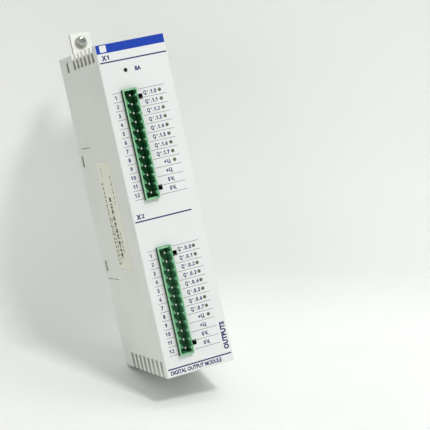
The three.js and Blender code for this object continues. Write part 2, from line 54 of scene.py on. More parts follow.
SHELL_LOW, SHELL_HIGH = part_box("housing_shell")
FOIL_LOW, FOIL_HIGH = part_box("front_foil")
LABEL_LOW, LABEL_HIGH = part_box("type_label")
HEADERS = {name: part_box(f"header_{name}") for name in ("x1", "x2")}
GUIDES = {name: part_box(f"light_guide_{name}") for name in ("x1", "x2")}

LEFT = SHELL_LOW.x
BOTTOM = SHELL_LOW.z
TOP = SHELL_HIGH.z
FACE_Y = FOIL_LOW.y

PITCH = 5.08 * MM            # between the poles, and between the printed rows
POLES = 12                   # in each header
LIT_ROWS = 9                 # rows that have a lamp, from the top
CHANNELS = 8                 # rows that name a channel; the others name a supply
INK = 0.02 * MM              # thickness of the printing
SUNK = 0.005 * MM            # how far the printing reaches into the surface under it

TOP_WALL = 3.45 * MM         # thickness of the case's top as the vents show it
TOP_VENTS = 9.8 * MM         # from the case's top to the lower ends of its vents
LOW_VENTS = 10.1 * MM        # from the case's underside to the upper ends of its vents

# The camera looks at the module from its left front: turned, tipped down and rolled.
TURNED = math.radians(20.894)
TIPPED = math.radians(4.862)
ROLLED = math.radians(12.192)
AHEAD = Vector((math.sin(TURNED), math.cos(TURNED), -math.tan(TIPPED))).normalized()
LEVEL = AHEAD.cross(Vector((0, 0, 1))).normalized()
SKYWARD = LEVEL.cross(AHEAD) * math.cos(ROLLED) + LEVEL * math.sin(ROLLED)

# How far the camera looks down on the sheet. The module leans on the sheet, so this isn't TIPPED.
LOOK_DOWN = math.radians(15)


def middle(box):
    low, high = box
    return (low + high) / 2


def row_z(header, row):
    """Height of the middle of a printed row; row 0 is the top one."""
    return middle(HEADERS[header]).z + PITCH * ((POLES - 1) / 2 - row)


# ---------------------------------------------------------------- material building blocks


class Surface:
    """A node material with one principled shader and short ways to feed it."""

    def __init__(self, name, roughness=0.5, metallic=0.0, coat=0.0, specular=0.5):
        self.material = bpy.data.materials.new(name)
        self.material.use_nodes = True
        self.tree = self.material.node_tree
        self.shader = self.tree.nodes["Principled BSDF"]
        self.shader.inputs["Roughness"].default_value = roughness
        self.shader.inputs["Metallic"].default_value = metallic
        self.shader.inputs["Coat Weight"].default_value = coat
        self.shader.inputs["Specular IOR Level"].default_value = specular
        self.place = self.node("ShaderNodeTexCoord").outputs["Object"]

    def node(self, kind, **settings):
        made = self.tree.nodes.new(kind)
        for key, value in settings.items():
            setattr(made, key, value)
        return made

    def link(self, output, socket):
        self.tree.links.new(output, socket)

    def noise(self, size, detail=3.0, stretch=(1, 1, 1)):
        """Noise between 0 and 1 whose blobs are about size across."""
        mapping = self.node("ShaderNodeMapping")
        mapping.inputs["Scale"].default_value = [s / size for s in stretch]
        self.link(self.place, mapping.inputs["Vector"])
        noise = self.node("ShaderNodeTexNoise")
        noise.inputs["Scale"].default_value = 1.0
        noise.inputs["Detail"].default_value = detail
        self.link(mapping.outputs["Vector"], noise.inputs["Vector"])
        return noise.outputs["Fac"]

    def ramp(self, value, low, high, start=0.0, end=1.0):
        """Value mapped from low..high to start..end and held beyond it."""
        remap = self.node("ShaderNodeMapRange")
        remap.inputs["From Min"].default_value = low
        remap.inputs["From Max"].default_value = high
        remap.inputs["To Min"].default_value = start
        remap.inputs["To Max"].default_value = end
        self.link(value, remap.inputs["Value"])
        return remap.outputs["Result"]

    def maths(self, operation, first, second=None):
        made = self.node("ShaderNodeMath", operation=operation)
        for socket, value in zip(made.inputs, (first, second)):
            if isinstance(value, (int, float)):
                socket.default_value = value
            elif value is not None:
                self.link(value, socket)
        return made.outputs["Value"]

    def mix(self, factor, first, second):
        """Colour from first to second; each is a colour or an output."""
        made = self.node("ShaderNodeMix", data_type="RGBA")
        self.link(factor, made.inputs["Factor"])
        for name, value in (("A", first), ("B", second)):
            socket = [s for s in made.inputs if s.name == name and s.type == "RGBA"][0]
            if isinstance(value, tuple):
                socket.default_value = (*value, 1.0)
            else:
                self.link(value, socket)
        return [s for s in made.outputs if s.type == "RGBA"][0]

    def axis(self, letter, source=None):
        """One coordinate of the place on the object, or of another vector."""
        split = self.node("ShaderNodeSeparateXYZ")
        self.link(source or self.place, split.inputs["Vector"])
        return split.outputs[letter]

    def facing(self, letter):
        return self.axis(letter, self.node("ShaderNodeNewGeometry").outputs["Normal"])

    def edges(self, radius):
        """About 1 on edges and 0 on flats."""
        bevel = self.node("ShaderNodeBevel", samples=4)
        bevel.inputs["Radius"].default_value = radius
        dot = self.node("ShaderNodeVectorMath", operation="DOT_PRODUCT")
        self.link(bevel.outputs["Normal"], dot.inputs[0])
        self.link(self.node("ShaderNodeNewGeometry").outputs["Normal"], dot.inputs[1])
        return self.ramp(dot.outputs["Value"], 0.98, 0.80)

    def crevices(self, reach):
        """About 1 deep inside corners and 0 in the open."""
        shade = self.node("ShaderNodeAmbientOcclusion", samples=6)
        shade.inputs["Distance"].default_value = reach
        return self.ramp(shade.outputs["AO"], 0.75, 0.2)

    def colour(self, output):
        self.link(output, self.shader.inputs["Base Color"])

    def roughness(self, output):
        self.link(output, self.shader.inputs["Roughness"])

    def bump(self, height, strength, depth):
        made = self.node("ShaderNodeBump")
        made.inputs["Strength"].default_value = strength
        made.inputs["Distance"].default_value = depth
        self.link(height, made.inputs["Height"])
        self.link(made.outputs["Normal"], self.shader.inputs["Normal"])


def tinted(colour, factor):
    return tuple(channel * factor for channel in colour)


# ---------------------------------------------------------------- materials


def case_plastic():
    """Light warm grey moulding: eroded grain, cloudy tone, handled edges, painted shade towards the top,
    in the corners and on the vents' flanks, and a painted highlight on the flanks in the top wall.
    """
    base, paled = (0.745, 0.763, 0.716), (0.86, 0.87, 0.84)
    painted_shade, painted_highlight = (0.27, 0.26, 0.19), (0.96, 0.96, 0.93)
    s = Surface("case_plastic", roughness=0.6)
    height = s.axis("Z")

    clouds = s.noise(35 * MM, 4)
    tone = s.mix(s.ramp(clouds, 0.35, 0.7), tinted(base, 0.965), tinted(base, 1.03))
    # Painted shade: the case darkens towards its top.
    tone = s.mix(s.ramp(height, BOTTOM, TOP, 0, 0.45), tone, tinted(base, 0.72))
    handled = s.mix(s.maths("MULTIPLY", s.edges(0.6 * MM), 0.35), tone, paled)

    # Painted shade in every corner below the top wall, except on faces that look up.
    skin, blur = TOP - TOP_WALL, 0.15 * MM
    inside = s.ramp(height, skin + blur, skin - blur)
    level = s.ramp(s.facing("Z"), 0.7, 0.3)
    corner_shade = s.maths("MULTIPLY", s.maths("MULTIPLY", inside, level), s.crevices(5 * MM))

    # Painted shade on the vents' flanks that look forward; in the top wall itself they get a painted
    # highlight instead.
    behind_front = s.ramp(s.axis("Y"), FACE_Y + 3 * MM, FACE_Y + 4 * MM)
    flank = s.maths("MULTIPLY", behind_front, s.ramp(s.facing("Y"), -0.6, -0.8))
    top_ends, low_ends = TOP - TOP_VENTS, BOTTOM + LOW_VENTS
    top_slots = s.ramp(height, top_ends - 0.1 * MM, top_ends + 0.1 * MM, 0, 0.72)
    low_slots = s.ramp(height, low_ends + 0.1 * MM, low_ends - 0.1 * MM, 0, 0.26)
    slots = s.maths("MAXIMUM", s.maths("MULTIPLY", top_slots, inside), low_slots)
    painted_shade_mask = s.maths("MAXIMUM", s.maths("MULTIPLY", corner_shade, 0.8), s.maths("MULTIPLY", flank, slots))
    # Painted highlight on the forward flanks inside the top wall.
    flank_highlight = s.maths("MULTIPLY", flank, s.ramp(height, skin - blur, skin + blur))
    s.colour(s.mix(flank_highlight, s.mix(painted_shade_mask, handled, painted_shade), painted_highlight))

    grain = s.noise(0.28 * MM, 5)
    s.roughness(s.ramp(grain, 0.3, 0.7, 0.52, 0.68))
    s.bump(grain, 0.35, 0.04 * MM)
    return s.material


def front_foil():
    """Near white polyester foil with a fine matt lacquer, a few faint rub marks and painted shade
    towards the top.
    """
    base, rubbed = (0.792, 0.806, 0.794), (0.68, 0.69, 0.66)
    s = Surface("front_foil", roughness=0.42)
    clouds = s.noise(28 * MM, 3)
    tone = s.mix(s.ramp(clouds, 0.3, 0.7), tinted(base, 0.985), tinted(base, 1.015))
    # Painted shade: the foil darkens towards the top.
    tone = s.mix(s.ramp(s.axis("Z"), BOTTOM, TOP, 0, 0.25), tone, tinted(base, 0.78))
    rubs = s.noise(2.2 * MM, 6, stretch=(0.15, 1, 1))
    s.colour(s.mix(s.ramp(rubs, 0.66, 0.78, 0.0, 0.25), tone, rubbed))
    s.roughness(s.ramp(clouds, 0.3, 0.7, 0.36, 0.5))
    s.bump(s.noise(0.12 * MM, 2), 0.2, 0.01 * MM)
    return s.material


def type_label():
    """Cream label paper: fibres, and yellowed in patches."""
    base, yellowed = (0.76, 0.77, 0.66), (0.73, 0.73, 0.60)
    s = Surface("type_label", roughness=0.7)
    fibres = s.noise(0.5 * MM, 5, stretch=(1, 1, 0.25))
    patches = s.noise(12 * MM, 3)
    tone = s.mix(s.ramp(patches, 0.3, 0.7), tinted(base, 1.03), yellowed)
    s.colour(s.mix(s.ramp(fibres, 0.35, 0.65, 0.0, 0.3), tone, tinted(base, 0.88)))
    s.bump(fibres, 0.3, 0.02 * MM)
    return s.material


def bracket_steel():
    """Sheet steel with a thin pale coat, dull sheared edges and a painted shadow of the screw head below
    and left of it.
    """
    pale, scratched = (0.90, 0.92, 0.86), (0.81, 0.82, 0.77)
    screw_shadow_colour, sheared = (0.27, 0.27, 0.20), (0.38, 0.38, 0.33)
    s = Surface("bracket_steel", roughness=0.38, metallic=0.25)
    scratches = s.noise(0.35 * MM, 5, stretch=(1, 1, 0.06))
    coat = s.mix(s.ramp(scratches, 0.55, 0.75), pale, scratched)
    # Painted shadow of the screw head: a dark disc a little below and left of the screw.
    screw = middle(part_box("captive_screw"))
    across = s.maths("SUBTRACT", s.axis("X"), screw.x - 0.5 * MM)
    up = s.maths("SUBTRACT", s.axis("Z"), screw.z - 1.2 * MM)
    squares = [s.maths("MULTIPLY", length, length) for length in (across, up)]
    reach = s.maths("SQRT", s.maths("ADD", *squares))
    screw_shadow = s.maths("MULTIPLY", s.ramp(reach, 4.4 * MM, 3.6 * MM), 0.75)
    edge = s.ramp(s.maths("ABSOLUTE", s.facing("Y")), 0.75, 0.35)
    s.colour(s.mix(edge, s.mix(screw_shadow, coat, screw_shadow_colour), sheared))
    s.roughness(s.ramp(scratches, 0.3, 0.7, 0.3, 0.5))
    s.bump(s.noise(0.8 * MM, 3), 0.25, 0.03 * MM)
    return s.material


def screw_steel():
    """Bright zinc plating with turning marks and small dull patches."""
    s = Surface("screw_steel", roughness=0.22, metallic=1.0)
    patches = s.noise(1.1 * MM, 4)
    marks = s.noise(0.12 * MM, 4, stretch=(1, 0.2, 1))
    bright, dull = (0.62, 0.63, 0.61), (0.40, 0.41, 0.38)
    s.colour(s.mix(s.ramp(patches, 0.4, 0.7), bright, dull))
    s.roughness(s.ramp(patches, 0.35, 0.7, 0.12, 0.3))
    s.bump(marks, 0.3, 0.01 * MM)
    return s.material


def connector_green():
    """Moulded deep green, with a painted highlight on the rim, painted light on the teeth's forward
    faces, painted glints near the mouth and painted shade on the left outside wall.
    """
    deep, mid, pale = (0.034, 0.195, 0.078), (0.080, 0.300, 0.130), (0.29, 0.58, 0.34)
    faded, gleam = (0.110, 0.330, 0.180), (0.55, 0.86, 0.60)
    s = Surface("connector_green", roughness=0.45, specular=0.15)
    left_x, rim_y = HEADERS["x1"][0].x, HEADERS["x1"][0].y
    across, depth = s.axis("X"), s.axis("Y")
    forward = s.ramp(s.facing("Y"), -0.35, -0.85)
    streaks = s.ramp(s.noise(1.6 * MM, 4), 0.3, 0.75, 1.0, 0.75)

    # The walls fade from the upper header to the lower one; the left outside wall gets near black
    # painted shade.
    walls = s.mix(s.ramp(s.noise(3 * MM, 3), 0.3, 0.7), tinted(deep, 0.8), tinted(deep, 1.25))
    walls = s.mix(s.ramp(s.axis("Z"), 20 * MM, -20 * MM), walls, faded)
    left_wall_shade = s.ramp(across, left_x + 0.3 * MM, left_x + 0.15 * MM)
    walls = s.mix(left_wall_shade, walls, tinted(deep, 0.2))

    # Painted light on the forward faces of the keying teeth, and broken painted glints on the edges near
    # the mouth.
    near_teeth = s.ramp(depth, rim_y + 2.0 * MM, rim_y + 0.6 * MM)
    teeth = s.maths("MULTIPLY", s.maths("MULTIPLY", near_teeth, forward), streaks)
    glints = s.maths("MULTIPLY", s.edges(0.5 * MM), s.ramp(s.noise(1.3 * MM, 2), 0.46, 0.54))
    glints = s.maths("MULTIPLY", glints, s.ramp(depth, rim_y + 4.5 * MM, rim_y + 3.0 * MM))
    inside = s.mix(glints, s.mix(teeth, walls, mid), gleam)

    # Painted highlight on the rim's forward faces: all along its left side, and in patches on its right
    # side.
    near_rim = s.ramp(depth, rim_y + 0.35 * MM, rim_y + 0.1 * MM)
    highlight_patches = s.ramp(s.noise(1.1 * MM, 3), 0.42, 0.6, 0.1, 0.9)
    right_side = s.ramp(across, left_x + 5 * MM, left_x + 6 * MM)
    paled = s.maths("MAXIMUM", highlight_patches, s.maths("SUBTRACT", 1.0, right_side))
    rim = s.maths("MULTIPLY", s.maths("MULTIPLY", near_rim, forward), s.maths("MULTIPLY", streaks, paled))
    s.colour(s.mix(rim, inside, pale))

    grain = s.noise(0.2 * MM, 4)
    s.roughness(s.ramp(grain, 0.3, 0.7, 0.32, 0.5))
    s.bump(grain, 0.25, 0.02 * MM)
    return s.material


def plain_moulding(name, base, roughness, grain_size=0.25 * MM, shine=0.5):
    """A moulded or cast surface: slight mottling, fine grain and paler edges."""
    s = Surface(name, roughness=roughness, specular=shine)
    mottle = s.mix(s.ramp(s.noise(4 * MM, 3), 0.3, 0.7), tinted(base, 0.85), tinted(base, 1.15))
    lighter = tuple(min(1.0, channel * 1.3 + 0.004) for channel in base)
    s.colour(s.mix(s.maths("MULTIPLY", s.edges(0.15 * MM), 0.4), mottle, lighter))
    grain = s.noise(grain_size, 4)
    s.roughness(s.ramp(grain, 0.3, 0.7, roughness - 0.08, roughness + 0.1))
    s.bump(grain, 0.3, 0.02 * MM)
    return s.material


def lamp_plastic():
    """Unlit tinted lamps: each one between olive and brown, with a fine haze."""
    s = Surface("lamp_plastic", roughness=0.22, coat=0.3)
    olive, brown, clouded = (0.130, 0.122, 0.060), (0.085, 0.070, 0.045), (0.22, 0.21, 0.15)
    tint = s.mix(s.ramp(s.noise(4.2 * MM, 0), 0.35, 0.65), olive, brown)
    haze = s.ramp(s.noise(0.5 * MM, 3), 0.3, 0.7, 0.0, 0.35)
    s.colour(s.mix(haze, tint, clouded))
    s.bump(s.noise(0.6 * MM, 2), 0.15, 0.02 * MM)
    return s.material


def status_lamp():
    """Unlit dark green lens."""
    s = Surface("status_lamp", roughness=0.2, coat=0.4)
    depth = s.ramp(s.noise(0.7 * MM, 2), 0.3, 0.7)
    s.colour(s.mix(depth, (0.008, 0.018, 0.007), (0.020, 0.040, 0.018)))
    s.bump(s.noise(0.5 * MM, 2), 0.1, 0.02 * MM)
    return s.material


def pin_metal():
    """Tinned contact, finely drawn along its length, with dull sides and a painted highlight on the tip
    that faces forward.
    """
    s = Surface("pin_metal", roughness=0.3, metallic=0.3)
    drawn = s.noise(0.1 * MM, 4, stretch=(1, 0.1, 1))
    sides = s.mix(s.ramp(drawn, 0.3, 0.7), (0.34, 0.36, 0.32), (0.22, 0.24, 0.21))
    # Painted highlight on the faces that look forward.
    tip_highlight = (0.80, 0.81, 0.77)
    s.colour(s.mix(s.ramp(s.facing("Y"), -0.85, -0.97), sides, tip_highlight))
    s.roughness(s.ramp(drawn, 0.3, 0.7, 0.18, 0.34))
    s.bump(drawn, 0.2, 0.01 * MM)
    return s.material


def board_laminate():
    """Glass laminate under green lacquer, with the tracks showing as lighter lines."""
    s = Surface("board_laminate", roughness=0.35, coat=0.3)
    turn = s.node("ShaderNodeMapping")
    turn.inputs["Rotation"].default_value = (0, math.pi / 2, 0)
    s.link(s.place, turn.inputs["Vector"])
    tracks = s.node("ShaderNodeTexBrick", offset=0.35, squash=1.6)
    s.link(turn.outputs["Vector"], tracks.inputs["Vector"])
    settings = {
        "Color1": (0.020, 0.120, 0.050, 1),
        "Color2": (0.026, 0.145, 0.060, 1),
        "Mortar": (0.050, 0.230, 0.100, 1),
        "Scale": 1.0,
        "Brick Width": 9 * MM,
        "Row Height": 1.9 * MM,
        "Mortar Size": 0.16 * MM,
    }
    for name, value in settings.items():
        tracks.inputs[name].default_value = value
    weave = s.noise(0.35 * MM, 2)
    glass = (0.05, 0.18, 0.09)
    s.colour(s.mix(s.ramp(weave, 0.4, 0.8, 0.0, 0.3), tracks.outputs["Color"], glass))
    s.bump(weave, 0.2, 0.02 * MM)
    return s.material


def can_aluminium():
    """Drawn aluminium, brushed round the can."""
    s = Surface("can_aluminium", roughness=0.35, metallic=0.9)
    brushed = s.noise(0.2 * MM, 4, stretch=(1, 0.15, 1))
    s.colour(s.mix(s.ramp(brushed, 0.3, 0.7), (0.66, 0.67, 0.68), (0.52, 0.53, 0.54)))
    s.roughness(s.ramp(brushed, 0.3, 0.7, 0.28, 0.45))
    s.bump(brushed, 0.25, 0.01 * MM)
    return s.material


def fuse_ceramic():
    """Ceramic body between two bright end caps."""
    s = Surface("fuse_ceramic", roughness=0.45)
    along = s.axis("Z", s.node("ShaderNodeTexCoord").outputs["Generated"])
    cap = s.ramp(s.maths("ABSOLUTE", s.maths("SUBTRACT", along, 0.5)), 0.29, 0.31)
    speckle = s.ramp(s.noise(0.4 * MM, 4), 0.3, 0.7)
    body = s.mix(speckle, (0.62, 0.55, 0.38), (0.54, 0.47, 0.31))
    plated = (0.72, 0.72, 0.69)
    s.colour(s.mix(cap, body, plated))
    s.link(cap, s.shader.inputs["Metallic"])
    s.roughness(s.ramp(cap, 0, 1, 0.6, 0.28))
    s.bump(speckle, 0.2, 0.02 * MM)
    return s.material


def ink(name, colour, patchiness=0.25):
    """Screen printing ink: dense, with slightly thin spots and a satin skin."""
    s = Surface(name, roughness=0.45, specular=0.2)
    thin = s.ramp(s.noise(0.5 * MM, 5), 0.5, 0.8, 0.0, patchiness)
    paler = tuple(channel * 0.7 + 0.16 for channel in colour)
    s.colour(s.mix(thin, colour, paler))
    s.roughness(s.ramp(s.noise(0.2 * MM, 3), 0.3, 0.7, 0.38, 0.55))
    s.bump(s.noise(0.15 * MM, 2), 0.15, 0.005 * MM)
    return s.material


MATERIALS = {
    "case_plastic": case_plastic(),
    "front_foil": front_foil(),
    "type_label": type_label(),
    "bracket_steel": bracket_steel(),
    "screw_steel": screw_steel(),
    "connector_green": connector_green(),
    "black_plastic": plain_moulding("black_plastic", (0.002, 0.003, 0.002), 0.6, shine=0.05),
    "lamp_plastic": lamp_plastic(),
    "status_lamp": status_lamp(),
    "pin_metal": pin_metal(),
    "board_laminate": board_laminate(),
    "connector_grey": plain_moulding("connector_grey", (0.42, 0.43, 0.39), 0.55),
    "chip_plastic": plain_moulding("chip_plastic", (0.016, 0.016, 0.017), 0.5),
    "can_aluminium": can_aluminium(),
    "choke_ferrite": plain_moulding("choke_ferrite", (0.045, 0.045, 0.050), 0.7, 0.5 * MM),
    "fuse_ceramic": fuse_ceramic(),
}
BAR_INK = ink("bar_ink", (0.010, 0.050, 0.40), 0.03)
LINE_INK = ink("line_ink", (0.030, 0.026, 0.140), 0.1)
ROW_INK = ink("row_ink", (0.20, 0.20, 0.24), 0.2)
LETTER_INK = ink("letter_ink", (0.052, 0.045, 0.160), 0.1)
LABEL_INK = ink("label_ink", (0.055, 0.052, 0.040), 0.3)


# ---------------------------------------------------------------- piece building blocks


def mesh_data(name, bm, smooth=False):
    """The mesh that a bmesh holds; the bmesh is used up."""
    data = bpy.data.meshes.new(name)
    bm.to_mesh(data)
    bm.free()
    for polygon in data.polygons:
        polygon.use_smooth = smooth
    return data


def placed(name, data):
    """A new object in the scene."""
    made = bpy.data.objects.new(name, data)
    bpy.context.scene.collection.objects.link(made)
    return made


def mesh_piece(name, bm, material, body, smooth=False):
    """A finished mesh as a named piece that rides on a CAD body."""
    bmesh.ops.recalc_face_normals(bm, faces=bm.faces)
    piece = placed(name, mesh_data(name, bm, smooth))
    piece.data.materials.append(material)
    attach(piece, body)
    return piece


def evaluated(piece):
    """The piece's mesh with its modifiers applied, in the piece's own axes."""
    bpy.context.view_layer.update()
    graph = bpy.context.evaluated_depsgraph_get()
    return bpy.data.meshes.new_from_object(piece.evaluated_get(graph), depsgraph=graph)


def add_curve(bm, curve, place):
    """Adds a filled, slightly thick curve or text to a bmesh, placed by a matrix."""
    curve.extrude = INK / 2
    holder = placed("holder", curve)
    data = evaluated(holder)
    data.transform(place)
    bm.from_mesh(data)
    bpy.data.objects.remove(holder)


def on_front(x, z):
    """Places a flat outline drawn in X and Y on the front foil."""
    y = FACE_Y - INK / 2 + SUNK
    return Matrix.Translation((x, y, z)) @ Matrix.Rotation(math.pi / 2, 4, "X")


def on_label(y, z):
    """Places a flat outline on the side label, reading upwards."""
    x = LABEL_LOW.x - INK / 2 + SUNK
    turn = Matrix.Rotation(-math.pi / 2, 4, "Z") @ Matrix.Rotation(math.pi / 2, 4, "X")
    return Matrix.Translation((x, y, z)) @ turn @ Matrix.Rotation(math.pi / 2, 4, "Z")


def outline(*loops):
    """A filled flat curve from closed loops of points; an inner loop is a hole."""
    curve = bpy.data.curves.new("outline", "CURVE")
    curve.dimensions = "2D"      # only a flat curve can be filled
    curve.fill_mode = "BOTH"
    for loop in loops:
        spline = curve.splines.new("POLY")
        spline.points.add(len(loop) - 1)
        for point, (x, y) in zip(spline.points, loop):
            point.co = (x, y, 0, 1)
        spline.use_cyclic_u = True
    return curve


def rounded(x0, y0, x1, y1, radius, steps=5):
    """Corner-rounded rectangle as a loop of points."""
    corners = [(x1, y0, -90), (x1, y1, 0), (x0, y1, 90), (x0, y0, 180)]
    points = []
    for x, y, start in corners:
        cx = x - radius if x == x1 else x + radius
        cy = y - radius if y == y1 else y + radius
        for step in range(steps + 1):
            angle = math.radians(start + 90 * step / steps)
            points.append((cx + radius * math.cos(angle), cy + radius * math.sin(angle)))
    return points


CAP_SHARE = 0.729            # height of a capital over the font's size
FLAG_SHARE = 0.76            # height of a one's flag and of an asterisk, over that of a capital
PLAIN_STROKE = 0.25 * MM     # stroke of the plain face at these sizes


def text_curve(words, cap_height, squeeze=0.86, weight=0.0, spacing=1.0):
    """Plain lettering whose baseline is at 0, and the scale that squeezes it; weight thickens it."""
    curve = bpy.data.curves.new("text", "FONT")
    curve.body = words
    curve.size = cap_height / CAP_SHARE
    curve.offset = weight
    curve.space_character = spacing
    curve.resolution_u = 3
    return curve, Matrix.Diagonal((squeeze, 1, 1, 1))


def write(bm, place, words, cap_height, **style):
    """Adds words in the plain face as it spaces them."""
    curve, scale = text_curve(words, cap_height, **style)
    add_curve(bm, curve, place @ scale)


def drawn_one(cap, stroke):
    """Outline of the digit one, with a long flag."""
    flag = 0.4 * MM
    stem = flag + stroke
    flag_z = FLAG_SHARE * cap
    return outline([
        (flag, 0),
        (stem, 0),
        (stem, cap),
        (flag + 0.1 * MM, cap),
        (0, flag_z),
        (0, flag_z - 0.9 * stroke),
        (flag, cap - 1.2 * stroke),
    ])


def drawn_two(cap, stroke):
    """Outline of the digit two, drawn lighter than the other digits so that it stays open."""
    stroke *= 0.75
    radius = 0.3 * cap
    width = 2 * radius
    sweep, steps = math.radians(216), 12
    angles = [math.pi - sweep * step / steps for step in range(steps + 1)]

    def arc(r):
        return [(radius + r * math.cos(a), cap - radius + r * math.sin(a)) for a in angles]

    foot = [(1.5 * stroke, stroke), (width, stroke), (width, 0), (0, 0), (0, stroke)]
    return outline(arc(radius) + foot + arc(radius - stroke)[::-1])


def drawn_star(cap, stroke):
    """Outline of a six-armed asterisk."""
    tip, root = 0.6 * MM, 0.45 * stroke
    middle_z = FLAG_SHARE * cap
    points = []
    for step in range(12):
        angle = math.radians(30 * (step + 1))
        radius = root if step % 2 else tip
        points.append((radius * math.cos(angle), middle_z + radius * math.sin(angle)))
    return outline(points)


def glyph(character, cap, weight):
    """One character as a mesh with its left edge at 0, and its width."""
    drawn = {"1": drawn_one, "2": drawn_two, "*": drawn_star}
    if character in drawn:
        curve, scale = drawn[character](cap, PLAIN_STROKE + 2 * weight), Matrix.Identity(4)
    else:
        squeeze = 0.7 if character == "Q" else 0.84
        curve, scale = text_curve(character, cap, squeeze=squeeze, weight=weight)
    bm = bmesh.new()
    add_curve(bm, curve, scale)
    left = min(vert.co.x for vert in bm.verts)
    bmesh.ops.translate(bm, verts=bm.verts, vec=(-left, 0, 0))
    width = max(vert.co.x for vert in bm.verts)
    return mesh_data("glyph", bm), width


class Lettering:
    """Evenly spaced characters of one size, for numbers and short names."""

    def __init__(self, cap, weight, gap):
        self.cap, self.weight, self.gap = cap, weight, gap
        self.glyphs = {}

    def set(self, bm, place, words, centred=False):
        """Adds words that start at a place, or are centred on it."""
        for character in words:
            if character not in self.glyphs:
                self.glyphs[character] = glyph(character, self.cap, self.weight)
        glyphs = [self.glyphs[character] for character in words]
        total = sum(width for _, width in glyphs) + self.gap * (len(words) - 1)
        pen = -total / 2 if centred else 0.0
        for data, width in glyphs:
            copy = data.copy()
            copy.transform(place @ Matrix.Translation((pen, 0, 0)))
            bm.from_mesh(copy)
            bpy.data.meshes.remove(copy)
            pen += width + self.gap


def printed(name, bm, material):
    """A finished layer of printing on the case."""
    bmesh.ops.remove_doubles(bm, verts=bm.verts, dist=0.001 * MM)
    mesh_piece(name, bm, material, "case")


# ---------------------------------------------------------------- printing on the front foil

CAP = 2.25 * MM
HEAVY_LINE = 0.78 * MM
THIN_LINE = 0.28 * MM
LONG_END = 35.8 * MM         # right end of the lines beside and between the headers


def rule(bm, x0, x1, z, thickness):
    """A printed line between two distances from the case's left side."""
    loop = rounded(x0, -thickness / 2, x1, thickness / 2, thickness * 0.45, 3)
    add_curve(bm, outline(loop), on_front(LEFT, z))


def print_bar():
    """Blue bar across the top with a plain white field left open in it."""
    bm = bmesh.new()
    depth, rim = 5.4 * MM, FOIL_HIGH.z - TOP
    bar = rounded(FOIL_LOW.x - LEFT, -depth, FOIL_HIGH.x - LEFT, rim, 0.3 * MM)
    field = rounded(2.5 * MM, -4.75 * MM, 6.4 * MM, -0.85 * MM, 0.6 * MM)
    add_curve(bm, outline(bar, field), on_front(LEFT, TOP))
    printed("print_bar", bm, BAR_INK)


def print_heavy_lines():
    """The lines under the two connector names and over the wording at the bottom."""
    bm = bmesh.new()
    rule(bm, 1.1 * MM, 41.1 * MM, TOP - 10.6 * MM, HEAVY_LINE)
    rule(bm, 1.0 * MM, LONG_END, BOTTOM + 91.0 * MM, HEAVY_LINE)
    rule(bm, 1.1 * MM, 41.0 * MM, BOTTOM + 4.7 * MM, HEAVY_LINE)
    printed("print_heavy_lines", bm, LINE_INK)


def print_row_lines():
    """Thin lines between the rows, on both sides of each header."""
    bm = bmesh.new()
    for header in HEADERS:
        for line in range(POLES + 1):
            z = row_z(header, line) + PITCH / 2
            rule(bm, 4.0 * MM, 9.4 * MM, z, THIN_LINE)
            rule(bm, 19.6 * MM, LONG_END, z, THIN_LINE)
    printed("print_row_lines", bm, ROW_INK)


def print_rows(header, group):
    """Row numbers and terminal names beside one header; a supply's name has a small foot letter."""
    channels = [f"Q*.{group}.{row}" for row in range(CHANNELS)]
    supplies = ["+U", "+U", "0V", "0V"]
    number_x, channel_x, supply_x, foot_x = 5.8 * MM, 22.3 * MM, 25.7 * MM, 29.0 * MM
    numbers = Lettering(CAP, 0.15 * MM, 0.55 * MM)
    names = Lettering(CAP, 0.16 * MM, 0.3 * MM)
    bm = bmesh.new()
    for row, name in enumerate(channels + supplies):
        z = row_z(header, row) - CAP / 2
        numbers.set(bm, on_front(LEFT + number_x, z), str(row + 1), centred=True)
        if row < CHANNELS:
            names.set(bm, on_front(LEFT + channel_x, z), name)
        else:
            names.set(bm, on_front(LEFT + supply_x, z), name)
            write(bm, on_front(LEFT + foot_x, z - 0.3 * MM), "L", CAP * 0.6, weight=0.1 * MM)
    printed(f"print_rows_{header}", bm, LETTER_INK)


def print_titles():
    """Connector names, the status lamp's name and the plain wording at the bottom."""
    bm = bmesh.new()
    names = Lettering(2.5 * MM, 0.24 * MM, 0.35 * MM)
    names.set(bm, on_front(LEFT + 2.6 * MM, TOP - 9.2 * MM), "X1")
    names.set(bm, on_front(LEFT + 2.4 * MM, BOTTOM + 92.5 * MM), "X2")
    beside_lamp = on_front(LEFT + 20.5 * MM, BOTTOM + 174.9 * MM)
    write(bm, beside_lamp, "BA", CAP, weight=0.19 * MM, spacing=1.06)
    foot = on_front(LEFT + 2.3 * MM, BOTTOM + 1.35 * MM)
    write(bm, foot, "DIGITAL OUTPUT MODULE", 2.3 * MM, squeeze=0.82, weight=0.14 * MM)
    upright = on_front(LEFT + 40.2 * MM, BOTTOM + 7.5 * MM) @ Matrix.Rotation(math.pi / 2, 4, "Z")
    write(bm, upright, "OUTPUTS", 2.9 * MM, squeeze=0.88, weight=0.23 * MM, spacing=1.06)
    printed("print_titles", bm, LINE_INK)


# Columns on the side label: share of its width from the rear, top and bottom as shares of its
# height, then in millimetres the column's width, its longest block and its gaps.
LABEL_COLUMNS = [
    (0.26, 0.05, 0.14, 0.45, 40.0, 0.0),
    (0.13, 0.19, 0.97, 1.9, 1.6, 0.5),
    (0.27, 0.50, 0.95, 1.6, 1.3, 0.6),
    (0.46, 0.33, 0.91, 3.6, 2.6, 0.6),
    (0.66, 0.64, 0.86, 1.6, 1.4, 0.6),
    (0.82, 0.13, 0.40, 1.6, 1.2, 0.7),
]


